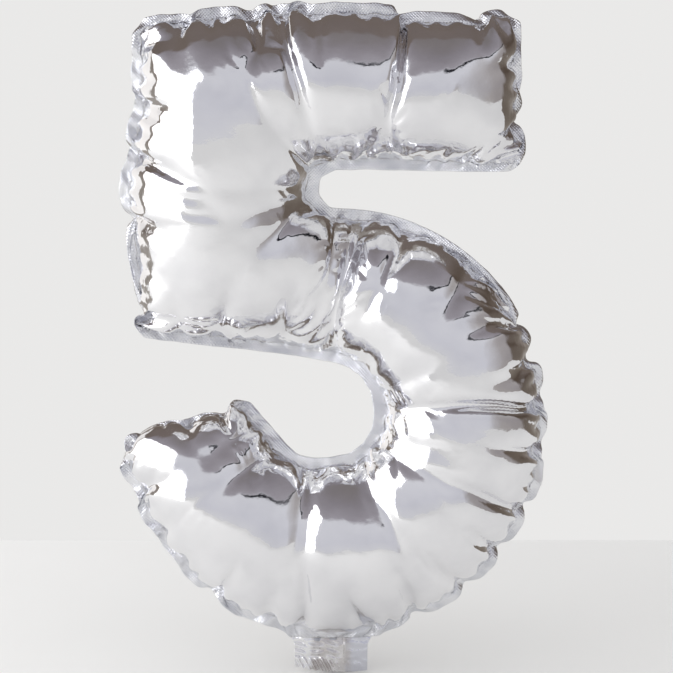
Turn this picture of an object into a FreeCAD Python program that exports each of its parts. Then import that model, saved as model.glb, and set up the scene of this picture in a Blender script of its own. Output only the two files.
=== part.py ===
"""Foil number balloon, digit 5: two heat-sealed film panels with a self-closing flat valve in the neck.

Frame: X to the digit's right, Y to the back, Z up. The origin is the middle of the neck where it leaves
the seam, halfway between the two panels. The digit faces -Y. All sizes are in millimetres.
"""
import FreeCAD, Part
import math
import os

V = FreeCAD.Vector

SIZES = {
    # film and layers
    "film": 0.4,              # foil panel
    "valve_film": 0.25,       # each clear valve film
    "valve_gap": 0.05,        # half of the space between the valve films
    "release_coat": 0.03,     # heat-proof coat that keeps the valve open under the weld
    "seam_width": 6.0,        # welded margin outside the inflated form
    # inflated form: outline of the digit at the seam, and its depth
    "half_depth": 37.0,       # fullest point, from the middle plane to the front
    "edge_depth": 3.0,        # half depth where a stroke ends at a straight seam
    "end_run": 45.0,          # length in which a stroke fills out from its end
    "top": 371.0,
    "left": -116.0,
    "bar_right": 106.0,
    "bar_foot": 286.0,        # underside of the top bar
    "notch_left": -6.0,       # right side of the upright, at the notch under the bar
    "notch_radius": 9.0,
    "foot_height": 172.0,     # foot of the upright, straight under the notch
    "foot_slope": 9.0,        # degrees that it runs down to the right
    "bowl_x": 3.0,
    "bowl_height": 129.0,
    "bowl_radius": 123.0,
    "counter_x": 0.0,
    "counter_height": 138.0,
    "counter_radius": 33.0,
    "tip_turn": -177.5,       # degrees about the bowl's centre where its free tip ends
    "tip_slope": 12.0,        # degrees that the tip's end runs up to the right
    # neck and valve
    "neck_width": 44.0,
    "neck_length": 21.0,
    "neck_flare": 12.0,       # run of the slanted sides where the seam widens out of the neck
    "fold_height": -1.0,      # the neck folds about this line
    "fold_gap": 1.2,          # free height above the fold line, so that the folded neck clears the seam
    "valve_width": 26.0,
    "valve_weld": 2.5,
    "valve_top": 82.0,
    "valve_mouth": 2.0,       # the valve stops this far above the end of the neck
    "release_height": 9.0,
}

doc = FreeCAD.newDocument("foil_balloon_five")
sheet = doc.addObject("Spreadsheet::Sheet", "size")
for row, (alias, value) in enumerate(SIZES.items(), start=1):
    sheet.set(f"A{row}", alias)
    sheet.set(f"B{row}", str(value))
    sheet.setAlias(f"B{row}", alias)
doc.recompute()


def size(name):
    """A driving dimension, read back from the sheet."""
    return float(getattr(sheet, name))


def bind(obj, **cells):
    """Binds properties of an object to formulas over the sheet."""
    for prop, formula in cells.items():
        obj.setExpression(prop, formula)
    return obj


def place(obj, x="0", y="0", z="0"):
    """Binds where an object stands."""
    for axis, formula in zip("xyz", (x, y, z)):
        obj.setExpression(f".Placement.Base.{axis}", formula)
    return obj


def box(name, x, y, z, length, width, height):
    """A block from its lowest corner and its three sides, all formulas."""
    block = doc.addObject("Part::Box", name)
    bind(block, Length=length, Width=width, Height=height)
    return place(block, x, y, z)


def boolean(kind, name, *parts):
    """Part::Cut, Part::Fuse or Part::Common of two objects, or Part::MultiFuse of several."""
    made = doc.addObject(f"Part::{kind}", name)
    if kind == "MultiFuse":
        made.Shapes = list(parts)
    else:
        made.Base, made.Tool = parts
    return made


# ---------------------------------------------------------------- the inflated form
# One tube that follows the digit: from the right end of the bar to the left, round the notch into the
# upright, then the other way round the counter to the tip. Every section is an ellipse across the tube.

NOTCH_TURNS = range(90, 260, 10)  # directions of the sections that fan out from the notch
CORNER_TURNS = (140, 220)  # of these, the two that point at the corners on the left
SQUARENESS = 6  # of the outer corners; a higher number makes them sharper
BOWL_START = 82.0  # degrees about the bowl's centre of its first section
BOWL_STEPS = 24
END_STEPS = 7
END_TAPER = 0.07  # share of its width that a stroke loses at a straight end


def end_profile():
    """From a straight end inwards: the shares of its run, of full depth and of full width."""
    for k in range(END_STEPS + 1):
        angle = math.radians(90 * k / END_STEPS)
        yield 1 - math.cos(angle), math.sin(angle), 1 - END_TAPER * (1 - math.sin(angle)) ** 2


def section(name, x, z, turn, half_width, half_depth):
    """An ellipse across the tube. Its width lies along the direction `turn` degrees up from +X."""
    ring = doc.addObject("Part::Ellipse", name)
    across = FreeCAD.Rotation(V(0, -1, 0), turn).multVec(V(1, 0, 0))
    depth = V(0, 1, 0)
    ring.Placement = FreeCAD.Placement(V(), FreeCAD.Rotation(across, depth, across.cross(depth), "XYZ"))
    bind(ring, MajorRadius=half_width, MinorRadius=half_depth)
    return place(ring, x, "0", z)


def depth_at(share):
    return f"(size.edge_depth + (size.half_depth - size.edge_depth) * {share})"


def bar_sections(inset):
    """Upright sections from the bar's free end towards the notch."""
    for run, depth, width in end_profile():
        yield (f"size.bar_right - size.end_run * {run} - {inset}", "(size.top + size.bar_foot) / 2", 90,
               f"(size.top - size.bar_foot) / 2 * {width}", depth_at(depth))


def notch_sections():
    """Sections that fan out from the notch to the outline's top, left side and foot."""
    x, z = "(size.notch_left + size.notch_radius)", "(size.bar_foot - size.notch_radius)"
    for turn in NOTCH_TURNS:
        c, s = f"cos({turn} deg)", f"sin({turn} deg)"
        sides = [f"max(0; {s}) / (size.top - {z})", f"max(0; -{c}) / ({x} - size.left)",
                 f"max(0; -sin(({turn} + size.foot_slope) * 1 deg))"
                 f" / (({z} - size.foot_height) * cos(size.foot_slope * 1 deg))"]
        far = f"pow({' + '.join(f'pow({side}; {SQUARENESS})' for side in sides)}; -1 / {SQUARENESS})"
        centre = f"({far} + size.notch_radius) / 2"
        yield (f"{x} + {c} * {centre}", f"{z} + {s} * {centre}",
               turn, f"({far} - size.notch_radius) / 2", depth_at(1.0))


def bowl_sections(inset):
    """Sections round the counter, from the top, over the right and the bottom, to the free tip."""
    end_turn = math.degrees(2 * size("end_run") / (size("bowl_radius") + size("counter_radius")))
    last = size("tip_turn") + end_turn
    end_slope = size("tip_slope") - 180 - size("tip_turn")
    stops = [(BOWL_START + (last - BOWL_START) * k / BOWL_STEPS, 1.0, 1.0, 0.0) for k in range(BOWL_STEPS)]
    stops += [(size("tip_turn") + end_turn * run, depth, width, (1 - run) * end_slope)
              for run, depth, width in reversed([*end_profile()])]
    reach = "(size.bowl_radius + size.counter_radius) / 2"
    for turn, depth, width, slope in stops:
        # near the tip the sections also stand back along the tube by the inset
        angle = f"({turn} + {inset} / {reach} * {1 if turn <= last else 0} * 180 / pi) * 1 deg"
        c, s = f"cos({angle})", f"sin({angle})"
        half = (f"((size.bowl_radius - size.counter_radius) + (size.bowl_x - size.counter_x) * {c}"
                f" + (size.bowl_height - size.counter_height) * {s}) / 2 * {width}")
        yield (f"(size.bowl_x + size.counter_x) / 2 + {reach} * {c}",
               f"(size.bowl_height + size.counter_height) / 2 + {reach} * {s}",
               turn + 180 + slope, half, depth_at(depth))


def loft(name, rings):
    run = doc.addObject("Part::Loft", name)
    run.Sections = rings
    run.Solid = True
    run.Ruled = True
    return run


def tube(tag, inset):
    """The whole digit as one closed solid, smaller all round by the inset."""
    sections = [*bar_sections(inset), *notch_sections(), *bowl_sections(inset)]
    rings = [section(f"{tag}_{k}", x, z, turn, f"{half} - {inset}", f"{depth} - {inset}")
             for k, (x, z, turn, half, depth) in enumerate(sections)]
    # bar, upright and bowl are three runs that share their sections at the two outer corners
    upper, lower = (END_STEPS + 1 + NOTCH_TURNS.index(turn) for turn in CORNER_TURNS)
    return boolean("MultiFuse", tag, loft(f"{tag}_bar", rings[:upper + 1]),
                   loft(f"{tag}_upright", rings[upper:lower + 1]), loft(f"{tag}_bowl", rings[lower:]))


# ---------------------------------------------------------------- layers through the seam and the neck
# From the middle plane outwards: valve gap, valve film, foil film. The weld fills the space between
# the foils.

FOIL_IN = "(size.valve_gap + size.valve_film)"
FOIL_OUT = "(size.valve_gap + size.valve_film + size.film)"
NECK_TOP = "(size.fold_height + size.fold_gap)"
HALF_VALVE, HALF_NECK = "size.valve_width / 2", "size.neck_width / 2"
ROOT_TOP = "(size.seam_width + 2)"  # the neck's root runs this far up, past the lower edge of the form
PASSAGE_TOP = "(size.seam_width + 8)"  # where the valve has left the weld and is inside the form
REACH = 400  # side of a block that is larger than the whole form
BELOW = 50  # how far such a block starts under the origin


def layer(name, side, low, high, x0, x1, z0, z1):
    """A flat layer between two depths, on the front (side -1) or the back (side 1) of the middle plane."""
    y = f"-{high}" if side < 0 else low
    return box(name, x0, y, z0, f"({x1}) - ({x0})", f"{high} - {low}", f"({z1}) - ({z0})")


def flare(name, low, high, turned):
    """The slanted side where the seam widens out of the neck, between two depths."""
    wedge = doc.addObject("Part::Wedge", name)
    # the wedge's own Y runs sideways, away from the neck, and its own X runs through the layers
    wedge.Placement = FreeCAD.Placement(V(), FreeCAD.Rotation(V(0, 0, 1), 90 if turned else -90))
    near, far = (low, high) if turned else (f"-({high})", f"-({low})")
    bind(wedge, Xmin=near, Xmax=far, X2min=near, X2max=far)
    bind(wedge, Ymin=HALF_NECK, Ymax=f"{HALF_NECK} + size.neck_flare")
    return bind(wedge, Zmin=NECK_TOP, Zmax=ROOT_TOP, Z2min="size.seam_width", Z2max=ROOT_TOP)


def margin_plate(tag, low, high):
    """A flat plate one seam width larger than the form all round, with the root of the neck."""
    thickness = f"({high}) - ({low})"
    slab = box(f"slab_{tag}", f"-{REACH / 2}", low, f"-{BELOW}", f"{REACH}", thickness, f"{REACH + BELOW}")
    root = box(f"neck_root_{tag}", f"-{HALF_NECK}", low, NECK_TOP,
               "size.neck_width", thickness, f"{ROOT_TOP} - {NECK_TOP}")
    flares = [flare(f"flare_{tag}_{turned}", low, high, turned) for turned in (0, 1)]
    outline = boolean("Common", f"outline_{tag}", slab, margin_form)
    return boolean("MultiFuse", f"plate_{tag}", outline, root, *flares)


subparts = []


def keep(obj, label):
    """Marks an object as a finished sub-part under the name of its file."""
    obj.Label = label
    subparts.append(obj)
    return obj


# ---------------------------------------------------------------- balloon body

outer_form = tube("outer", "0")
inner_form = tube("inner", "size.film")
margin_form = tube("margin", "-size.seam_width")
for label, side in (("front_foil_panel", -1), ("back_foil_panel", 1)):
    low, high = (f"-{FOIL_OUT}", f"-{FOIL_IN}") if side < 0 else (FOIL_IN, FOIL_OUT)
    start = f"{low} - {REACH}" if side < 0 else low
    space = box(f"space_{label}", f"-{REACH / 2}", start, f"-{BELOW}",
                f"{REACH}", f"{REACH}", f"{REACH + BELOW}")
    filled = boolean("Fuse", f"filled_{label}", boolean("Common", f"half_{label}", outer_form, space),
                     margin_plate(label, low, high))
    keep(boolean("Cut", label, filled, inner_form), label)

passage = box("valve_passage", f"-{HALF_VALVE}", f"-{FOIL_OUT}", "size.fold_height",
              "size.valve_width", f"2 * {FOIL_OUT}", f"{PASSAGE_TOP} - size.fold_height")
ring = boolean("Cut", "weld_ring", margin_plate("weld", f"-{FOIL_IN}", FOIL_IN), inner_form)
keep(boolean("Cut", "perimeter_weld", ring, passage), "perimeter_weld")

NECK_FOOT = "(size.fold_height - size.neck_length)"
MOUTH = "(size.fold_height - size.neck_length + size.valve_mouth)"
CHANNEL = "(size.valve_width / 2 - size.valve_weld)"

for label, side in (("valve_front_film", -1), ("valve_back_film", 1)):
    film = layer(label, side, "size.valve_gap", FOIL_IN,
                 f"-{HALF_VALVE}", HALF_VALVE, NECK_TOP, "size.valve_top")
    keep(film, label)


def side_pair(label, x0, x1, y, width, z0, z1):
    """Two equal strips, mirrored left and right, as one sub-part of two solids."""
    right = box(f"{label}_right", x0, y, z0, f"({x1}) - ({x0})", width, f"({z1}) - ({z0})")
    left = box(f"{label}_left", f"-({x1})", y, z0, f"({x1}) - ({x0})", width, f"({z1}) - ({z0})")
    pair = doc.addObject("Part::Compound", label)
    pair.Links = [left, right]
    return keep(pair, label)


GAP_FRONT, GAP_WIDTH = "-size.valve_gap", "2 * size.valve_gap"
side_pair("valve_side_welds", CHANNEL, HALF_VALVE, GAP_FRONT, GAP_WIDTH, NECK_TOP, "size.valve_top")
coat = box("valve_release_coat", f"-{CHANNEL}", "size.valve_gap - size.release_coat", NECK_TOP,
           f"2 * {CHANNEL}", "size.release_coat", "size.release_height")
keep(coat, "valve_release_coat")

# ---------------------------------------------------------------- neck, folding about fold_height

for label, side in (("neck_front_foil", -1), ("neck_back_foil", 1)):
    foil = layer(label, side, FOIL_IN, FOIL_OUT,
                 f"-{HALF_NECK}", HALF_NECK, NECK_FOOT, "size.fold_height")
    keep(foil, label)
for label, side in (("inlet_front_film", -1), ("inlet_back_film", 1)):
    film = layer(label, side, "size.valve_gap", FOIL_IN,
                 f"-{HALF_VALVE}", HALF_VALVE, MOUTH, "size.fold_height")
    keep(film, label)
side_pair("neck_side_welds", HALF_VALVE, HALF_NECK, f"-{FOIL_IN}", f"2 * {FOIL_IN}",
          NECK_FOOT, "size.fold_height")
side_pair("inlet_side_welds", CHANNEL, HALF_VALVE, GAP_FRONT, GAP_WIDTH, MOUTH, "size.fold_height")

# ---------------------------------------------------------------- checks and export

doc.recompute()
for obj in doc.Objects:
    if {"Invalid", "Error"} & set(obj.State):
        raise RuntimeError(f"{obj.Label} failed: {obj.State}")
os.makedirs("parts", exist_ok=True)
for obj in subparts:
    shape = obj.Shape
    if shape.isNull() or not shape.isValid() or not shape.Solids:
        raise RuntimeError(f"{obj.Label} has no valid solid")
    shape.exportStep(f"parts/{obj.Label}.step")
    print(f"{obj.Label}: {len(shape.Solids)} solid(s), {shape.Volume / 1000:.3f} cm3")
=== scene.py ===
"""Foil number balloon, digit 5, as it looks filled with gas.

Two flat metallised films are joined by a heat-sealed margin and inflated here by a small cloth solver.
The solver works in millimetres in the frame's XZ plane; the pieces are then made in metres.
"""
import math
from typing import NamedTuple

import bpy
import numpy as np
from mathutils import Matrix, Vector
from mathutils.geometry import delaunay_2d_cdt


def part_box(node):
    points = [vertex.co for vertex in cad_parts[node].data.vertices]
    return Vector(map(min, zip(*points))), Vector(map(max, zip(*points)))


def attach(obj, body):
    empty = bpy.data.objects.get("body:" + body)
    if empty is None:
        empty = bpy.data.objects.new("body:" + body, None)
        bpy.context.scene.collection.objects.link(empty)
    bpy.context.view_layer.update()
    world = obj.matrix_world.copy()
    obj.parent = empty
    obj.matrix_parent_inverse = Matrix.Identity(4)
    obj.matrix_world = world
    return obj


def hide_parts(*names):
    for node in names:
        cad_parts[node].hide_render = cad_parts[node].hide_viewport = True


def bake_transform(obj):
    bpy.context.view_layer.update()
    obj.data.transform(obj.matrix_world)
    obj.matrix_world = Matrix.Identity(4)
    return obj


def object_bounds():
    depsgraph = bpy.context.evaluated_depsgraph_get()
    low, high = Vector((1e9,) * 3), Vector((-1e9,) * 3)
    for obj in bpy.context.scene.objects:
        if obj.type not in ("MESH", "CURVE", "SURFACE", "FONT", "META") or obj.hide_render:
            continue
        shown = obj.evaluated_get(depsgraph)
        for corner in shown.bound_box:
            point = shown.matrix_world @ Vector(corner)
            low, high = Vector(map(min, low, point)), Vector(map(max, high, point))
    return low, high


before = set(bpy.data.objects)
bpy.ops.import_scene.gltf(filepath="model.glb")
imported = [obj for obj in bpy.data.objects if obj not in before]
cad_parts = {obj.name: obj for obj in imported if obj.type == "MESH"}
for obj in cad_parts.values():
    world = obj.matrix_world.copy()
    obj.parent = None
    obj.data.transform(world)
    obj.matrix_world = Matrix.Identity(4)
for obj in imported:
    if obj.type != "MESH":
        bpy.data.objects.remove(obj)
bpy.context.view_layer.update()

MM = 0.001
SEED = 5
rng = np.random.default_rng(SEED)


def box_mm(node):
    """Lowest and highest corner of a CAD node, in millimetres."""
    low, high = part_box(node)
    return np.array(low) / MM, np.array(high) / MM


# ---------------------------------------------------------------- sizes

margin_low, margin_high = box_mm("perimeter_weld")
neck_low, neck_high = box_mm("neck_front_foil")
panel_low, _ = box_mm("front_foil_panel")
LEFT, RIGHT = margin_low[0], margin_high[0]
TOP = margin_high[2]
NECK_HALF = (neck_high[0] - neck_low[0]) / 2
NECK_END = neck_low[2]
FOLD_LINE = neck_high[2]
NECK_FILLET = 2.0
NECK_ZONE = 6.0  # the outline and the margin at the neck lie below this height
NECK_BEND = 4.0  # the tail bends within this length below the fold line
DEPTH = -panel_low[1]
SEAM_WIDTH = 6.0
VALVE_START = SEAM_WIDTH + 4  # the loose part of the valve begins above the seam
LAYER_GAP = 0.15  # from the middle of the balloon to a valve film
BOWL_RADIUS = 128.0


class Corner(NamedTuple):
    """A rounded corner of the margin's outline, and the stretch that runs clockwise from it."""

    x: float
    z: float
    radius: float
    edge: str  # "slack" where the seam puckers into scallops, "taut" where it is pulled straight
    scallops: int = 0
    gathers: int = 0  # creases that run in from a taut seam


OUTLINE = [
    Corner(LEFT + 12, TOP - 9, 12, "slack", scallops=2),
    Corner(-30, TOP + 6, 50, "slack", scallops=3),
    Corner(111, TOP - 6, 11, "slack", scallops=2),
    Corner(112, 280, 11, "taut", gathers=2),
    Corner(-6, 281, 9, "taut", gathers=1),
    Corner(-6, 259, 9, "taut", gathers=3),
    Corner(RIGHT - 1, 257, BOWL_RADIUS, "slack", scallops=6),
    Corner(RIGHT - 1, -1, BOWL_RADIUS, "slack", scallops=6),
    Corner(LEFT + 10.5, -1, BOWL_RADIUS, "slack", scallops=4),
    Corner(LEFT - 5, 125, 15, "slack", scallops=3),
    Corner(-50, 147, 12, "taut", gathers=2),
    Corner(-19, 112, 14, "taut", gathers=2),
    Corner(25, 115, 24, "taut", gathers=3),
    Corner(23, 162, 24, "taut", gathers=4),
    Corner(LEFT + 9, 184, 12, "slack", scallops=2),
    Corner(LEFT - 4, 272, 160, "slack", scallops=3),
]

# long folds that cross a stroke: start, end, and the share of the film's length that they take up
LONG_FOLDS = [
    ((-29, 378), (-28, 345), 0.25),
    ((-28, 356), (-5, 276), 0.3),
    ((-5, 274), (-78, 275), 0.3),
    ((-10, 268), (-52, 234), 0.32),
    ((-12, 284), (-54, 328), 0.25),
    ((-72, 268), (-24, 208), 0.3),
    ((-38, 350), (-66, 316), 0.3),
    ((38, 336), (18, 283), 0.32),
    ((16, 256), (-2, 176), 0.36),
    ((6, 258), (-14, 186), 0.25),
    ((26, 214), (58, 192), 0.3),
    ((34, 143), (102, 147), 0.32),
    ((31, 120), (84, 93), 0.3),
    ((20, 106), (51, 52), 0.3),
    ((-14, 116), (-19, 44), 0.3),
]

# film
FULLNESS = 1.42  # film length across a stroke, over the stroke's width
WIDE_STROKE = 36.0  # further than this from a seam the film isn't any fuller
SLACK = 0.16  # spare length along the slack seams
EDGE_SLACK = 0.05  # more of it within EDGE_REACH of them
EDGE_REACH = 10.0
ARC_RADIUS = 45.9  # section of a stroke: an arc of this radius meets the seam at this angle
ARC_ANGLE = math.radians(78.7)
ARC_REACH = 45.0  # further from a seam the section is flat
DOME_REACH = 42.0  # the film starts out as a low dome that is level from this depth on
LEAST_ALONG, MOST_ALONG = 0.86, 1.1  # bounds of the film's length along a bent stroke

SCALLOP_DEPTH = 9.0  # how far the seam is drawn in where two scallops meet
SCALLOP_TWIST = 3.0  # and how far it is pushed to the front or the back there, at most
SCALLOP_FOLD = 0.2  # share of the film's length that a fold takes up
GATHER_FOLD = 0.3
FOLD_WIDTH = 3.0

# relief of the neck's pressed film
CRIMP_HEIGHT = 9.5
CRIMP_PITCH = 1.8
CRIMP_DEPTH = 1.9
RIPPLE_DEPTH = 0.8
PLEAT_PLACE = 8.5
PLEAT_WIDTH = 0.8
PLEAT_DEPTH = 0.8
VALVE_SWELL = 14.0  # the neck is thicker over the valve, to this distance from its middle

# solver: point spacing, and the steps and the gas's first and last push of each stage
SPACING = 10.0
STAGES = [(500, 0.3, 0.15), (500, 0.075, 0.06), (260, 0.075, 0.04)]
STRUT_REACHES = {10.0: (2,), 5.0: (2, 4), 2.5: (4, 8)}  # in points along the seam, per spacing
STRUT_SLACK = 0.8 * SLACK / (1 + SLACK)
PASSES = 4
DAMPING = 0.96
LEAST_PRESSURE = 5.2  # times the area of a spacing: smaller pushes are scaled down with their area

# share of an error in length that a pass takes away, when a span is too long and when it is too short
FILM_PULL = 0.5
FILM_PUSH = 0.3
MARGIN_PUSH = 0.5
FILM_BEND = 0.015
MARGIN_BEND = 0.15
STRUT_PUSH = 0.45

# share of its way back to the flat outline that a welded point goes in a step
NECK_GRIP = 0.2
TAUT_GRIP = 0.5
SLACK_GRIP = 0.01
CUSP_GRIP = 0.3
TWIST_GRIP = 0.1


# ---------------------------------------------------------------- outline


class Loop(NamedTuple):
    """Evenly spaced points on the margin's outer edge, and the seam inside it."""

    edge: np.ndarray
    seam: np.ndarray
    inward: np.ndarray
    along: np.ndarray
    run: np.ndarray
    slack: np.ndarray
    curl: np.ndarray
    cusps: np.ndarray
    gathers: np.ndarray


def unit(v):
    """Rows of v at length 1."""
    return v / np.maximum(np.linalg.norm(v, axis=-1, keepdims=True), 1e-9)


def corner_arc(before, corner, after):
    """Points round one corner, about a millimetre apart."""
    p = np.array((corner.x, corner.z))
    u = unit(np.array((before.x, before.z)) - p)
    v = unit(np.array((after.x, after.z)) - p)
    half = math.acos(np.clip(u @ v, -1, 1)) / 2
    centre = p + unit(u + v) * corner.radius / math.sin(half)
    start = p + u * corner.radius / math.tan(half) - centre
    end = p + v * corner.radius / math.tan(half) - centre
    turn = math.copysign(math.pi - 2 * half, start[0] * end[1] - start[1] * end[0])
    count = max(4, int(abs(turn) * corner.radius))
    angle = np.linspace(0, turn, count + 1)
    x = start[0] * np.cos(angle) - start[1] * np.sin(angle)
    z = start[0] * np.sin(angle) + start[1] * np.cos(angle)
    return centre + np.column_stack([x, z])


def make_loop(corners, spacing):
    """The outline, sampled evenly, with the places where scallops meet and gathers start."""
    arcs = [corner_arc(corners[i - 1], c, corners[(i + 1) % len(corners)]) for i, c in enumerate(corners)]
    points = np.vstack(arcs)
    middles = np.cumsum([0] + [len(a) for a in arcs[:-1]]) + [len(a) // 2 for a in arcs]
    closed = np.vstack([points, points[:1]])
    length = np.concatenate([[0], np.cumsum(np.linalg.norm(np.diff(closed, axis=0), axis=1))])
    total = length[-1]
    count = round(total / spacing)
    run = np.arange(count) * total / count
    edge = np.column_stack([np.interp(run, length, closed[:, k]) for k in (0, 1)])

    along = unit(np.roll(edge, -1, 0) - np.roll(edge, 1, 0))
    inward = np.column_stack([along[:, 1], -along[:, 0]])
    seam = edge + inward * SEAM_WIDTH

    starts = length[middles]
    ends = np.append(starts[1:], starts[0] + total)
    slack = np.zeros(count, bool)
    cusps, gathers = [], []
    for corner, start, end in zip(corners, starts, ends):
        slack[(run - start) % total < end - start] = corner.edge == "slack"
        for k in range(corner.scallops):
            cusps.append(start + (end - start) * (k + 0.5 + rng.uniform(-0.12, 0.12)) / corner.scallops)
        for k in range(corner.gathers):
            gathers.append(start + (end - start) * (k + 0.5 + rng.uniform(-0.2, 0.2)) / corner.gathers)

    turning = np.roll(along, -1, 0) - np.roll(along, 1, 0)
    step = np.linalg.norm(np.roll(seam, -1, 0) - np.roll(seam, 1, 0), axis=1)
    curl = (along[:, 0] * turning[:, 1] - along[:, 1] * turning[:, 0]) / step
    for _ in range(3):
        curl = (np.roll(curl, 1) + curl + np.roll(curl, -1)) / 3

    def sample(places):
        return np.unique([round(place / total * count) % count for place in places])

    return Loop(edge, seam, inward, along, run, slack, curl, sample(cusps), sample(gathers))


def inside(polygon, points):
    """Which points lie inside a closed polygon."""
    x, z = points.T
    found = np.zeros(len(points), bool)
    for (x1, z1), (x2, z2) in zip(polygon, np.roll(polygon, -1, 0)):
        if z1 != z2:
            crosses = (z1 > z) != (z2 > z)
            found ^= crosses & (x < (x2 - x1) * (z - z1) / (z2 - z1) + x1)
    return found


def nearest(points, targets):
    """Index of the nearest target of each point, and the distance to it."""
    index = np.empty(len(points), int)
    for start in range(0, len(points), 2000):
        part = points[start : start + 2000]
        index[start : start + 2000] = ((part[:, None] - targets[None]) ** 2).sum(2).argmin(1)
    return index, np.linalg.norm(points - targets[index], axis=1)


# ---------------------------------------------------------------- flat film and its true lengths


def foot_height(x):
    """Height of the neck's lower edge, which is cut a little askew."""
    return NECK_END + 3 * ((x - 8) / 30) ** 2


def neck_outline():
    """The neck's tail below the fold line, from its right root to its left root."""
    columns = np.linspace(NECK_HALF, -NECK_HALF, 6)
    foot = [(x, foot_height(x)) for x in columns]
    sides = []
    for side in (1, -1):
        rows = np.linspace(FOLD_LINE - 2 * NECK_FILLET, foot_height(side * NECK_HALF), 3)[:-1]
        root = (side * (NECK_HALF + NECK_FILLET), FOLD_LINE)
        sides.append([root, *((side * NECK_HALF, z) for z in rows)])
    return np.array(sides[0] + foot + sides[1][::-1])


def flat_film(loop, spacing):
    """Points and triangles of one film: the inflated part, the margin and the neck's tail."""
    at_neck = np.abs(loop.edge[:, 0]) < NECK_HALF + 2 * NECK_FILLET
    root = np.where((loop.edge[:, 1] < NECK_ZONE) & at_neck)[0]
    neck = neck_outline()
    rim = np.vstack([loop.edge[: root[0]], neck, loop.edge[root[-1] + 1 :]])
    fold = np.linspace(neck[0], neck[-1], 6)[1:-1]
    low, high = rim.min(0), rim.max(0)
    rows = np.arange(low[1], high[1], spacing * 0.866)
    columns = np.arange(low[0], high[0], spacing)
    grid = np.array([(x + spacing / 2 * (k % 2), z) for k, z in enumerate(rows) for x in columns])
    grid += rng.uniform(-0.22, 0.22, grid.shape) * spacing
    grid = grid[inside(rim, grid) & (inside(loop.seam, grid) | (grid[:, 1] < 0))]
    grid = grid[nearest(grid, np.vstack([rim, loop.seam, fold]))[1] > 0.62 * spacing]

    points = np.vstack([rim, loop.seam, fold, grid])
    count, seam_count = len(rim), len(loop.seam)
    edges = [(i, (i + 1) % count) for i in range(count)]
    edges += [(count + i, count + (i + 1) % seam_count) for i in range(seam_count)]
    fold_first = count + seam_count
    across = [root[0], *range(fold_first, fold_first + len(fold)), root[0] + len(neck) - 1]
    edges += zip(across[:-1], across[1:])
    made = delaunay_2d_cdt([Vector(p) for p in points], edges, [], 1, 1e-6)
    flat = np.array([(v.x, v.y) for v in made[0]])
    triangles = np.array(list(made[2]))
    a, b, c = (flat[triangles[:, k]] for k in range(3))
    clockwise = np.cross(b - a, c - a) < 0
    triangles[clockwise] = triangles[clockwise][:, ::-1]
    middle = (a + b + c) / 3
    keep = inside(rim, middle)
    return flat, triangles[keep], inside(loop.seam, middle)[keep]


class Fold(NamedTuple):
    """A line where the film is drawn in, so that a sharp valley forms."""

    root: np.ndarray
    heading: np.ndarray
    length: float
    share: float


def make_folds(loop):
    """Short folds at the scallops, longer ones at the gathers, and the long folds."""
    folds = []
    for places, spread, lengths, share in (
        (loop.cusps, 0.18, (22, 38), SCALLOP_FOLD),
        (loop.gathers, 0.15, (35, 62), GATHER_FOLD),
    ):
        for k in places:
            angle = rng.normal(0, spread)
            heading = loop.inward[k] * math.cos(angle) + loop.along[k] * math.sin(angle)
            folds.append(Fold(loop.seam[k], heading, rng.uniform(*lengths), share))
    for start, end, share in LONG_FOLDS:
        way = np.subtract(end, start)
        folds.append(Fold(np.array(start, float), unit(way), float(np.linalg.norm(way)), share))
    return folds


def true_lengths(loop, folds, span, middle, welded, width):
    """Length of each span of film, which is longer than on the flat outline where the film swells.

    Across a stroke the film follows an arc. Along it, the length keeps the film smooth on that arc,
    plus the slack of the slack seams. Folds draw the film in along their own line.
    """
    near, depth = nearest(middle, loop.seam)
    across = np.where(depth[:, None] < 1, loop.inward[near], unit(middle - loop.seam[near]))
    along = np.column_stack([across[:, 1], -across[:, 0]])
    to_slack = nearest(middle, loop.seam[loop.slack])[1]
    to_taut = nearest(middle, loop.seam[~loop.slack])[1]

    depth = np.where(welded, 0, depth)
    swept = np.sin(ARC_ANGLE - np.minimum(FULLNESS * depth / ARC_RADIUS, ARC_ANGLE))
    reach = np.where(depth < ARC_REACH, ARC_RADIUS * (math.sin(ARC_ANGLE) - swept), depth)
    curl = loop.curl[near]
    smooth = (1 + np.clip(curl * reach, -0.45, 3)) / (1 + np.clip(curl * depth, -0.5, 3))
    spare = SLACK * to_taut / (to_taut + to_slack) + EDGE_SLACK * np.exp(-to_slack / EDGE_REACH)
    length_along = np.clip(smooth, LEAST_ALONG, MOST_ALONG) * (1 + spare)
    length_along = np.where(middle[:, 1] < 0, 1, length_along)
    fuller = 1 + (FULLNESS - 1) * (1 - np.clip((depth - WIDE_STROKE) / 10, 0, 1))
    length_across = np.where(welded, 1, fuller)

    true = across * (length_across * (span * across).sum(1))[:, None]
    true += along * (length_along * (span * along).sum(1))[:, None]
    drawn = true.copy()
    for fold in folds:
        offset = middle - fold.root
        forward = offset @ fold.heading
        aside = offset[:, 0] * fold.heading[1] - offset[:, 1] * fold.heading[0]
        fade_in = np.clip((forward + 3) / 4, 0, 1)
        fade_out = np.clip((fold.length - forward) / (0.6 * fold.length), 0, 1)
        share = fold.share * (fade_in * fade_out) * np.exp(-((aside / width) ** 2))
        drawn -= (share * (drawn @ fold.heading))[:, None] * fold.heading
    return np.linalg.norm(np.where(welded[:, None], true, drawn), axis=1)


# ---------------------------------------------------------------- solver


def edges_of(triangles):
    """Each edge of the triangles once, as sorted pairs."""
    pairs = np.concatenate([triangles[:, [0, 1]], triangles[:, [1, 2]], triangles[:, [2, 0]]])
    return np.unique(np.sort(pairs, axis=1), axis=0)


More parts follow.
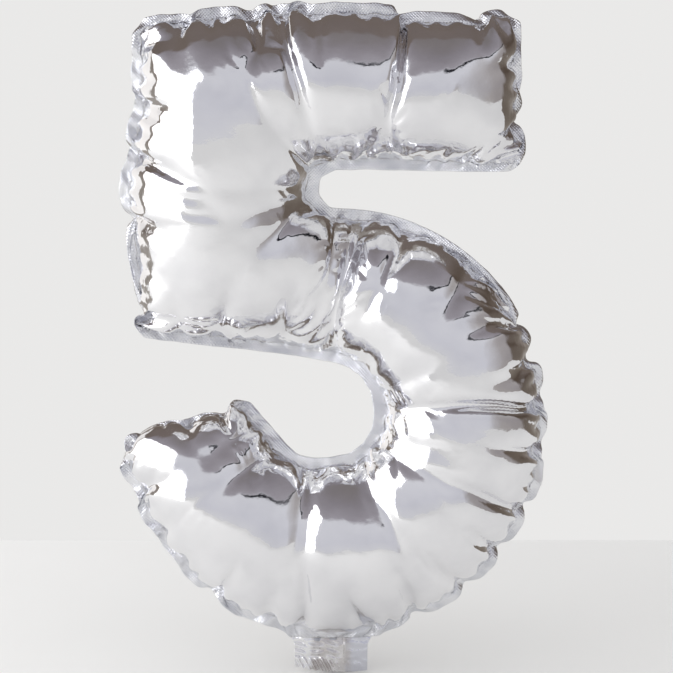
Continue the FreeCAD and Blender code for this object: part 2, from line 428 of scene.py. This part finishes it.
def opposite_corners(triangles):
    """Pairs of points that face each other over a shared edge; they resist bending."""
    pairs = np.concatenate([triangles[:, [0, 1]], triangles[:, [1, 2]], triangles[:, [2, 0]]])
    facing = np.concatenate([triangles[:, 2], triangles[:, 0], triangles[:, 1]])
    pairs = np.sort(pairs, axis=1)
    order = np.lexsort((pairs[:, 1], pairs[:, 0]))
    pairs, facing = pairs[order], facing[order]
    shared = np.where((pairs[1:] == pairs[:-1]).all(1))[0]
    return np.column_stack([facing[shared], facing[shared + 1]])


def refine(flat, triangles, swollen, films):
    """Cuts each triangle into four."""
    pairs = np.concatenate([triangles[:, [0, 1]], triangles[:, [1, 2]], triangles[:, [2, 0]]])
    unique, where = np.unique(np.sort(pairs, axis=1), axis=0, return_inverse=True)
    ab, bc, ca = where.ravel().reshape(3, -1) + len(flat)
    a, b, c = triangles.T
    parts = ((a, ab, ca), (ab, b, bc), (ca, bc, c), (ab, bc, ca))
    films = [np.vstack([film, film[unique].mean(1)]) for film in films]
    flat = np.vstack([flat, flat[unique].mean(1)])
    return flat, np.concatenate([np.column_stack(part) for part in parts]), np.tile(swollen, 4), films


def colour_groups(pairs, count):
    """Groups of pairs in which no point appears twice, so that a group is solved at once."""
    used = [0] * count
    colours = []
    for i, j in pairs.tolist():
        free = ~(used[i] | used[j])
        bit = free & -free
        used[i] |= bit
        used[j] |= bit
        colours.append(bit.bit_length())
    colours = np.array(colours)
    return [np.where(colours == c)[0] for c in np.unique(colours)]


def seam_struts(loop, flat, on_seam, reaches):
    """Pairs of seam points within one scallop, which keep the scallop's edge from crumpling."""
    near = nearest(flat[on_seam], loop.seam)[0]
    place = loop.run[near] + ((flat[on_seam] - loop.seam[near]) * loop.along[near]).sum(1)
    order = np.argsort(place)
    on_seam, scallop = on_seam[order], np.searchsorted(loop.run[loop.cusps], place[order])
    scallop %= len(loop.cusps)
    pairs = []
    for reach in reaches:
        same = scallop == np.roll(scallop, -reach)
        pairs.append(np.column_stack([on_seam, np.roll(on_seam, -reach)])[same])
    return np.vstack(pairs)


def inflate(loop, folds, flat, triangles, swollen, films, spacing, steps, push_start, push_end):
    """Presses the two films apart until every span of film has its true length."""
    count = len(flat)
    welded = np.zeros(count, bool)
    welded[triangles[~swollen].ravel()] = True
    back = np.arange(count)
    back[~welded] = count + np.arange((~welded).sum())
    front_film, margin = triangles[swollen], triangles[~swollen]
    back_film = back[front_film][:, ::-1]
    pressed = np.vstack([front_film, back_film])
    place = np.vstack([flat, flat[~welded]])
    p = np.vstack([films[0], films[1][~welded]]).astype(np.float32)

    spans = edges_of(np.vstack([pressed, margin]))
    margin_edges = {tuple(pair) for pair in edges_of(margin).tolist()}
    is_margin = np.array([tuple(pair) in margin_edges for pair in spans.tolist()])
    film_bends = np.vstack([opposite_corners(front_film), opposite_corners(back_film)])
    margin_bends = opposite_corners(margin)
    on_seam = np.where(welded & (nearest(flat, loop.seam)[1] < 0.8))[0]
    struts = seam_struts(loop, flat, on_seam, STRUT_REACHES[spacing])

    pairs = np.vstack([spans, film_bends, margin_bends, struts])
    kinds = np.repeat([0, 1, 2, 3], [len(spans), len(film_bends), len(margin_bends), len(struts)])
    stiff = kinds >= 2
    stiff[: len(spans)] = is_margin
    ends = place[pairs]
    width = max(FOLD_WIDTH, 0.45 * spacing)
    rest = true_lengths(loop, folds, ends[:, 1] - ends[:, 0], ends.mean(1), stiff, width)
    rest[kinds == 3] *= 1 + STRUT_SLACK
    pull = np.where(kinds == 0, FILM_PULL, 0)
    span_push = np.where(stiff, MARGIN_PUSH, FILM_PUSH)
    push = np.choose(kinds, [span_push, FILM_BEND, MARGIN_BEND, STRUT_PUSH])
    groups = []
    for g in colour_groups(pairs, len(p)):
        values = [v[g].astype(np.float32) for v in (rest, pull, push)]
        groups.append((pairs[g, 0], pairs[g, 1], *values))

    held = np.where(welded)[0]
    taut = ~loop.slack[nearest(flat[held], loop.seam)[0]]
    grip = np.where(flat[held, 1] < NECK_ZONE, NECK_GRIP, np.where(taut, TAUT_GRIP, SLACK_GRIP))
    grip = grip.astype(np.float32)[:, None]
    neck = held[flat[held, 1] < 1]
    cusps = nearest(loop.seam[loop.cusps], flat)[0]
    drawn_in = loop.seam[loop.cusps] + loop.inward[loop.cusps] * SCALLOP_DEPTH
    twist = rng.uniform(-SCALLOP_TWIST, SCALLOP_TWIST, len(cusps))

    speed = np.zeros_like(p)
    least = spacing * spacing * LEAST_PRESSURE
    for step in range(steps):
        a, b, c = (p[pressed[:, k]] for k in range(3))
        normal = np.cross(b - a, c - a)
        force = np.empty_like(p)
        for k in range(3):
            force[:, k] = np.bincount(pressed.ravel(), np.repeat(normal[:, k], 3), len(p))
        size = np.maximum(np.linalg.norm(force, axis=1), least)
        strength = push_start + (push_end - push_start) * step / steps
        before = p.copy()
        p += speed * np.float32(DAMPING) + force / size[:, None] * np.float32(strength)
        p[held[:, None], [0, 2]] += grip * (flat[held] - p[held[:, None], [0, 2]])
        p[held, 1] *= 0.996
        p[neck, 1] *= 0.9
        p[cusps[:, None], [0, 2]] += CUSP_GRIP * (drawn_in - p[cusps[:, None], [0, 2]])
        p[cusps, 1] += TWIST_GRIP * (twist - p[cusps, 1])
        for _ in range(PASSES):
            for i, j, length, pulling, pushing in groups:
                way = p[j] - p[i]
                now = np.sqrt((way * way).sum(1))
                gap = now - length
                way *= (np.where(gap > 0, pulling, pushing) * gap / np.maximum(now, 1e-6))[:, None]
                p[i] += way
                p[j] -= way
        speed = p - before
    return [p[:count], p[back]]


def inflated_film(loop):
    """Solves the balloon from coarse to fine. Returns the flat points, triangles and both films."""
    folds = make_folds(loop)
    flat, triangles, swollen = flat_film(loop, SPACING)
    depth = nearest(flat, loop.seam)[1] * inside(loop.seam, flat)
    dome = DEPTH * np.sqrt(1 - (1 - np.clip(depth / DOME_REACH, 0, 1)) ** 2)
    films = []
    for side in (-1, 1):
        y = side * dome + rng.normal(0, 0.3, len(flat)) * (depth > 0)
        films.append(np.column_stack([flat[:, 0], y, flat[:, 1]]))
    spacing = SPACING
    for stage in STAGES:
        if spacing < SPACING:
            flat, triangles, swollen, films = refine(flat, triangles, swollen, films)
        films = inflate(loop, folds, flat, triangles, swollen, films, spacing, *stage)
        spacing /= 2
    return flat, triangles, swollen, films


# ---------------------------------------------------------------- materials


class Graph:
    """A material and short calls to wire its nodes."""

    def __init__(self, name, **sockets):
        self.material = bpy.data.materials.new(name)
        self.material.use_nodes = True
        self.tree = self.material.node_tree
        self.shader = self.tree.nodes["Principled BSDF"]
        for socket, value in sockets.items():
            self.shader.inputs[socket.replace("_", " ")].default_value = value
        self.place = self.node("ShaderNodeTexCoord").outputs["Object"]

    def node(self, kind, **settings):
        made = self.tree.nodes.new(kind)
        for key, value in settings.items():
            setattr(made, key, value)
        return made

    def feed(self, socket, value):
        """Links an output to the socket, or sets the socket's value."""
        if isinstance(value, bpy.types.NodeSocket):
            self.tree.links.new(value, socket)
        else:
            socket.default_value = value

    def maths(self, operation, *values):
        made = self.node("ShaderNodeMath", operation=operation)
        for socket, value in zip(made.inputs, values):
            self.feed(socket, value)
        return made.outputs[0]

    def stretched(self, x, y, z):
        """The object's coordinates, in cells per metre along each axis."""
        made = self.node("ShaderNodeMapping")
        self.feed(made.inputs["Vector"], self.place)
        made.inputs["Scale"].default_value = (x, y, z)
        return made.outputs[0]

    def noise(self, scale, detail=2.0, where=None):
        made = self.node("ShaderNodeTexNoise")
        self.feed(made.inputs["Vector"], where or self.place)
        made.inputs["Scale"].default_value = scale
        made.inputs["Detail"].default_value = detail
        return made.outputs["Fac"]

    def attribute(self, name):
        return self.node("ShaderNodeAttribute", attribute_name=name).outputs["Fac"]

    def spread(self, value, low, high, to_low, to_high):
        """value from low..high to to_low..to_high."""
        made = self.node("ShaderNodeMapRange", interpolation_type="SMOOTHSTEP")
        for socket, number in zip(made.inputs, (value, low, high, to_low, to_high)):
            self.feed(socket, number)
        return made.outputs[0]

    def blend(self, share, first, second):
        made = self.node("ShaderNodeMix", data_type="RGBA")
        self.feed(made.inputs["Factor"], share)
        self.feed(made.inputs[6], (*first, 1) if isinstance(first, tuple) else first)
        self.feed(made.inputs[7], (*second, 1) if isinstance(second, tuple) else second)
        return made.outputs[2]

    def relief(self, heights):
        """Bump from (height output, depth in metres) pairs, one on top of the other."""
        normal = None
        for height, depth in heights:
            bump = self.node("ShaderNodeBump")
            bump.inputs["Distance"].default_value = depth
            self.feed(bump.inputs["Height"], height)
            if normal:
                self.feed(bump.inputs["Normal"], normal)
            normal = bump.outputs[0]
        self.feed(self.shader.inputs["Normal"], normal)

    def colour(self, value):
        self.feed(self.shader.inputs["Base Color"], value)

    def roughness(self, value):
        self.feed(self.shader.inputs["Roughness"], value)


def foil_material():
    """Mirror-bright film, crinkled near the seams and marked by handling."""
    g = Graph("mirror_foil", Metallic=1.0)
    near_seam = g.spread(g.attribute("seam_depth"), 0.0, 0.016, 1.0, 0.0)
    crinkle = g.noise(420, 2.5)
    dents = g.noise(95, 1.5)
    puckers = g.noise(230, 1.0, g.stretched(1, 1, 0.6))
    g.relief(
        (
            (dents, 0.0002),
            (g.maths("MULTIPLY", puckers, near_seam), 0.0008),
            (g.maths("MULTIPLY", crinkle, g.maths("MULTIPLY_ADD", near_seam, 0.85, 0.15)), 0.0002),
        )
    )
    clouds = g.noise(38, 3)
    g.colour(g.blend(g.spread(clouds, 0.35, 0.7, 0, 1), (0.90, 0.90, 0.915), (0.83, 0.83, 0.85)))
    g.roughness(g.spread(g.noise(60, 3), 0.3, 0.7, 0.035, 0.11))
    return g.material


def margin_material():
    """Heat-sealed margin: the film is embossed by the sealing jaw and a little duller."""
    g = Graph("sealed_margin", Metallic=1.0)
    ribs = []
    for tilt in (1, -1):
        wave = g.node("ShaderNodeTexWave", bands_direction="X")
        turn = g.node("ShaderNodeMapping")
        g.feed(turn.inputs["Vector"], g.place)
        turn.inputs["Rotation"].default_value = (0, math.radians(45 * tilt), 0)
        g.feed(wave.inputs["Vector"], turn.outputs[0])
        wave.inputs["Scale"].default_value = 250
        wave.inputs["Distortion"].default_value = 0.6
        ribs.append(wave.outputs["Fac"])
    knurl = g.maths("MULTIPLY", *ribs)
    ripple = g.noise(160, 2)
    g.relief(((ripple, 0.0007), (knurl, 0.00018)))
    worn = g.spread(g.noise(90, 3), 0.35, 0.7, 0, 1)
    g.colour(g.blend(worn, (0.84, 0.845, 0.87), (0.66, 0.67, 0.71)))
    g.roughness(g.spread(knurl, 0, 1, 0.10, 0.22))
    return g.material


def neck_material():
    """Film of the neck: scored and bluish beside the valve, browner and slightly dull over it, near-white
    on its left from a painted highlight.
    """
    g = Graph("neck_foil", Metallic=1.0)
    across = g.node("ShaderNodeSeparateXYZ")
    g.feed(across.inputs[0], g.place)
    x = across.outputs["X"]
    over_valve = g.spread(g.maths("ABSOLUTE", x), 0.010, 0.0135, 1, 0)
    score = g.spread(g.maths("ABSOLUTE", g.maths("SUBTRACT", x, 0.0075)), 0, 0.0007, 0, 1)
    ripple = g.noise(180, 2, g.stretched(0.7, 1, 1))
    crinkle = g.noise(650, 2)
    g.relief(((ripple, 0.0012), (score, 0.0004), (crinkle, 0.0002)))
    # browner patches over the valve, following the ripple noise
    browner_over_valve = g.maths("MULTIPLY", over_valve, g.spread(ripple, 0.3, 0.7, 0.3, 1))
    # painted highlight: the neck's left part is near-white, its right part bluish grey
    highlit_left_bluish_right = g.blend(g.spread(x, 0.008, 0.0095, 0, 1), (0.93, 0.93, 0.94), (0.70, 0.71, 0.77))
    g.colour(g.blend(browner_over_valve, highlit_left_bluish_right, (0.60, 0.57, 0.56)))
    g.roughness(g.spread(over_valve, 0, 1, 0.12, 0.24))
    return g.material


def valve_material():
    """Clear valve film with frosted weld lines at its sides and a printed release coat."""
    g = Graph("valve_film", IOR=1.49, Transmission_Weight=0.85, Alpha=0.75)
    across = g.node("ShaderNodeSeparateXYZ")
    g.feed(across.inputs[0], g.place)
    side = g.spread(g.maths("ABSOLUTE", across.outputs["X"]), 0.0100, 0.0108, 0, 1)
    coat = g.spread(across.outputs["Z"], 0.008, 0.0085, 1, 0)
    frost = g.maths("MAXIMUM", side, coat)
    haze = g.noise(120, 3, g.stretched(1, 1, 0.3))
    g.relief(((haze, 0.0004), (side, 0.0001)))
    g.colour(g.blend(frost, (0.90, 0.92, 0.95), (0.72, 0.75, 0.82)))
    g.roughness(g.spread(g.maths("MULTIPLY_ADD", frost, 0.6, haze), 0.2, 1.3, 0.12, 0.5))
    return g.material


def floor_material():
    """Matt studio paper."""
    g = Graph("studio_floor", Specular_IOR_Level=0.1)
    g.colour(g.blend(g.noise(9, 3), (0.85, 0.845, 0.835), (0.83, 0.825, 0.815)))
    g.roughness(g.spread(g.noise(40, 2), 0, 1, 0.85, 0.95))
    g.relief(((g.noise(900, 2), 0.0001),))
    return g.material


# ---------------------------------------------------------------- pieces


def piece(name, points, faces, material, smooth_levels=1, thickness=0.0, seam_depth=None):
    """A smooth sheet from points in millimetres; it keeps only the points that its faces use."""
    used, faces = np.unique(faces, return_inverse=True)
    mesh = bpy.data.meshes.new(name)
    mesh.from_pydata((points[used] * MM).tolist(), [], faces.reshape(-1, 3).tolist())
    mesh.shade_smooth()
    mesh.materials.append(material)
    if seam_depth is not None:
        stored = mesh.attributes.new("seam_depth", "FLOAT", "POINT")
        stored.data.foreach_set("value", (seam_depth[used] * MM).astype(np.float32))
    made = bpy.data.objects.new(name, mesh)
    bpy.context.scene.collection.objects.link(made)
    if thickness:
        shell = made.modifiers.new("thickness", "SOLIDIFY")
        shell.thickness = thickness * MM
        shell.offset = 0
    rounded = made.modifiers.new("smooth", "SUBSURF")
    rounded.levels = rounded.render_levels = smooth_levels
    return made


def apply_modifiers(made):
    """Makes the modified mesh the piece's own."""
    bpy.context.view_layer.update()
    evaluated = made.evaluated_get(bpy.context.evaluated_depsgraph_get())
    mesh = bpy.data.meshes.new_from_object(evaluated)
    made.modifiers.clear()
    made.data = mesh


def neck_relief(x, z):
    """How far the pressed neck stands off its plane: crimps at its foot, ripples above, one pleat."""
    down = np.clip((FOLD_LINE - z) / 3, 0, 1)
    left = np.clip((7 - x) / 8, 0.1, 1)
    foot = np.clip((NECK_END + CRIMP_HEIGHT - z) / 2, 0, 1)
    crimps = np.abs(((x + 0.5 * z) / CRIMP_PITCH) % 2 - 1) - 0.5
    ripples = np.sin(1.5 * z + 0.25 * x + 0.8 * np.sin(0.4 * x)) * np.sin(0.3 * x + 1)
    pleat = np.exp(-(((x - PLEAT_PLACE - 0.05 * z) / PLEAT_WIDTH) ** 2))
    bow = 1 - (x / NECK_HALF) ** 2
    rough = CRIMP_DEPTH * foot * left * crimps + RIPPLE_DEPTH * (1 - foot) * left * ripples
    return down * (rough - PLEAT_DEPTH * pleat - bow)


def neck_layer(points, flat, side, depth):
    """One layer of the neck, set off from the middle and swollen a little over the valve."""
    x, z = flat.T
    below = np.clip((FOLD_LINE - z) / NECK_BEND, 0, 1)
    swell = np.clip(1 - (x / VALVE_SWELL) ** 2, 0, 1) * 0.5
    layer = points.copy()
    layer[:, 1] += side * below * (depth + swell) + neck_relief(x, z)
    return layer


def valve_wave(x, z, side):
    """How far a loose valve film hangs off the balloon's middle; it waves more the higher it is."""
    loose = np.clip((z - VALVE_START) / 60, 0, 1)
    return side * LAYER_GAP + loose * (3 * np.sin(z / 13) + side * 0.8 * np.cos(x / 9))


def strip(low, high, columns, rows):
    """A flat grid in the XZ plane, in millimetres, as points and triangles."""
    xs = np.linspace(low[0], high[0], columns)
    zs = np.linspace(low[1], high[1], rows)
    points = np.array([(x, 0.0, z) for z in zs for x in xs])
    faces = []
    for r in range(rows - 1):
        for c in range(columns - 1):
            a = r * columns + c
            faces += [(a, a + 1, a + columns), (a + 1, a + columns + 1, a + columns)]
    return points, np.array(faces)


loop = make_loop(OUTLINE, SPACING)
flat, triangles, swollen, films = inflated_film(loop)
seam_depth = nearest(flat, loop.seam)[1]
tail = flat[triangles][:, :, 1].max(1) < FOLD_LINE + 0.01

foil = foil_material()
for side, name in ((0, "front"), (1, "back")):
    faces = triangles[swollen] if side == 0 else triangles[swollen][:, ::-1]
    panel = piece(f"foil_{name}", films[side], faces, foil, seam_depth=seam_depth)
    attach(panel, "balloon")
    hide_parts(f"{name}_foil_panel")

margin = piece("seam_margin", films[0], triangles[~swollen & ~tail], margin_material(), thickness=0.5)
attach(margin, "balloon")
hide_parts("perimeter_weld")

tail_flat, tail_faces, tail_films = flat, triangles[tail], films[:1]
for _ in range(2):
    tail_flat, tail_faces, _, tail_films = refine(tail_flat, tail_faces, swollen[:0], tail_films)
neck_foil = neck_material()
for side, name in ((-1, "front"), (1, "back")):
    layer = neck_layer(tail_films[0], tail_flat, side, 0.35)
    faces = tail_faces if side == -1 else tail_faces[:, ::-1]
    sheet = piece(f"neck_{name}", layer, faces, neck_foil, thickness=0.12)
    apply_modifiers(sheet)
    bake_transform(sheet)
    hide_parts(f"neck_{name}_foil", "neck_side_welds")

valve_low, valve_high = box_mm("valve_front_film")
inlet_low, inlet_high = box_mm("inlet_front_film")
clear_film = valve_material()
for side, name in ((-1, "front"), (1, "back")):
    points, faces = strip((valve_low[0], VALVE_START), valve_high[[0, 2]], 9, 25)
    points[:, 1] = valve_wave(points[:, 0], points[:, 2], side)
    film = piece(f"valve_{name}", points, faces, clear_film, thickness=0.1)
    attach(film, "balloon")
    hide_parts(f"valve_{name}_film", "valve_side_welds", "valve_release_coat")

    points, faces = strip(inlet_low[[0, 2]], inlet_high[[0, 2]], 33, 33)
    points[:, 1] = side * LAYER_GAP + neck_relief(points[:, 0], points[:, 2])
    film = piece(f"inlet_{name}", points, faces, clear_film, thickness=0.1)
    apply_modifiers(film)
    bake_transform(film)
    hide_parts(f"inlet_{name}_film", "inlet_side_welds")


# ---------------------------------------------------------------- studio


DAYLIGHT = (0.84, 0.84, 0.845)
BACKDROP = (0.82, 0.815, 0.808)
GAP_COLOUR = (0.01, 0.01, 0.015)
FLOOR_REACH = 12.0
FLOOR_BACK = 0.3  # the backdrop starts here, behind the balloon
FLOOR_GAP = 0.0005
ELEVATION = math.radians(8)
TARGET = Vector((0.0033, 0, 0.1835))
DISTANCE = 0.938
LENS = 85


def make_room():
    """What the foil mirrors: pale in front, grey overhead, brown behind and darker on the right."""
    world = bpy.data.worlds.new("studio")
    bpy.context.scene.world = world
    world.use_nodes = True
    tree = world.node_tree
    background = tree.nodes["Background"]

    def node(kind, **settings):
        made = tree.nodes.new(kind)
        for key, value in settings.items():
            setattr(made, key, value)
        return made

    def ramp(source, *stops):
        """Colours along a value that runs from -1 to 1."""
        spread = node("ShaderNodeMapRange")
        spread.inputs[1].default_value = -1
        tree.links.new(source, spread.inputs[0])
        made = node("ShaderNodeValToRGB")
        tree.links.new(spread.outputs[0], made.inputs[0])
        elements = made.color_ramp.elements
        while len(elements) < len(stops):
            elements.new(0.5)
        for element, (at, colour) in zip(elements, stops):
            element.position = (at + 1) / 2
            element.color = (*colour, 1)
        return made.outputs[0]

    def mask(source, *stops):
        """Shares from 0 to 1 along a value that runs from -1 to 1."""
        return ramp(source, *((at, (share, share, share)) for at, share in stops))

    def mixed(share, first, second, **settings):
        made = node("ShaderNodeMix", data_type="RGBA", **settings)
        sockets = (made.inputs["Factor"], made.inputs[6], made.inputs[7])
        for socket, value in zip(sockets, (share, first, second)):
            if isinstance(value, bpy.types.NodeSocket):
                tree.links.new(value, socket)
            else:
                socket.default_value = value
        return made.outputs[2]

    direction = node("ShaderNodeSeparateXYZ")
    tree.links.new(node("ShaderNodeTexCoord").outputs["Generated"], direction.inputs[0])
    across, forward, up = direction.outputs
    ahead = ramp(
        up,
        (-1.0, (0.74, 0.73, 0.72)),
        (-0.1, (0.66, 0.66, 0.68)),
        (0.2, (0.60, 0.60, 0.65)),
        (0.60, (0.66, 0.66, 0.70)),
        (0.66, (0.34, 0.32, 0.35)),
        (0.86, (0.25, 0.23, 0.25)),
        (1.0, (0.20, 0.18, 0.18)),
    )
    behind = ramp(
        up,
        (-1.0, (0.50, 0.47, 0.44)),
        (0.0, (0.30, 0.27, 0.24)),
        (0.3, (0.24, 0.205, 0.18)),
        (0.45, (0.15, 0.12, 0.10)),
        (1.0, (0.17, 0.14, 0.13)),
    )
    right = ramp(
        across,
        (-1.0, (1.0, 1.0, 1.0)),
        (0.6, (1.0, 1.0, 1.0)),
        (0.85, (0.6, 0.56, 0.52)),
        (1.0, (0.5, 0.46, 0.43)),
    )
    turned = mask(forward, (-1.0, 0), (-0.06, 0), (0.06, 1), (1.0, 1))

    # a dark gap between two light panels, on the right at about 38 degrees up
    gap_height = mask(up, (-1.0, 0), (0.585, 0), (0.6, 1), (0.625, 1), (0.64, 0))
    gap_side = mask(across, (-1.0, 0), (0.12, 0), (0.22, 1), (1.0, 1))
    in_gap = node("ShaderNodeMath", operation="MULTIPLY")
    tree.links.new(gap_height, in_gap.inputs[0])
    tree.links.new(gap_side, in_gap.inputs[1])
    ahead = mixed(in_gap.outputs[0], ahead, (*GAP_COLOUR, 1))
    shaded = mixed(1.0, mixed(turned, ahead, behind), right, blend_type="MULTIPLY")

    path = node("ShaderNodeLightPath")
    lit = mixed(path.outputs["Is Camera Ray"], (*DAYLIGHT, 1), (*BACKDROP, 1))
    chosen = mixed(path.outputs["Is Glossy Ray"], lit, shaded)
    tree.links.new(chosen, background.inputs["Color"])
    background.inputs["Strength"].default_value = 1.0


def softbox(name, place, target, width, height, radiance):
    """A rectangular light that faces target, in metres."""
    light = bpy.data.lights.new(name, "AREA")
    light.shape = "RECTANGLE"
    light.size, light.size_y = width, height
    light.energy = radiance * math.pi * width * height
    made = bpy.data.objects.new(name, light)
    made.location = place
    made.rotation_mode = "QUATERNION"
    made.rotation_quaternion = (Vector(target) - Vector(place)).to_track_quat("-Z", "Y")
    made.visible_camera = False
    bpy.context.scene.collection.objects.link(made)


bpy.context.view_layer.update()
floor_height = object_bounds()[0].z - FLOOR_GAP
corners = [
    (-FLOOR_REACH, -FLOOR_REACH, floor_height),
    (FLOOR_REACH, -FLOOR_REACH, floor_height),
    (FLOOR_REACH, FLOOR_BACK, floor_height),
    (-FLOOR_REACH, FLOOR_BACK, floor_height),
]
floor_mesh = bpy.data.meshes.new("floor")
floor_mesh.from_pydata(corners, [], [(0, 1, 2, 3)])
floor_mesh.materials.append(floor_material())
floor = bpy.data.objects.new("floor", floor_mesh)
bpy.context.scene.collection.objects.link(floor)

make_room()
softbox("left_box", (-1.1, -0.4, 0.45), (0, 0, 0.2), 1.3, 1.3, 1.3)
softbox("rim_box", (-1.0, 0.75, 0.5), (0, 0, 0.2), 0.9, 1.2, 0.75)

camera_data = bpy.data.cameras.new("camera")
camera_data.lens = LENS
camera = bpy.data.objects.new("camera", camera_data)
bpy.context.scene.collection.objects.link(camera)
to_camera = Vector((0, -math.cos(ELEVATION), math.sin(ELEVATION)))
camera.location = TARGET + to_camera * DISTANCE
camera.rotation_mode = "QUATERNION"
camera.rotation_quaternion = (-to_camera).to_track_quat("-Z", "Y")
bpy.context.scene.camera = camera
bpy.context.scene.view_settings.view_transform = "Standard"
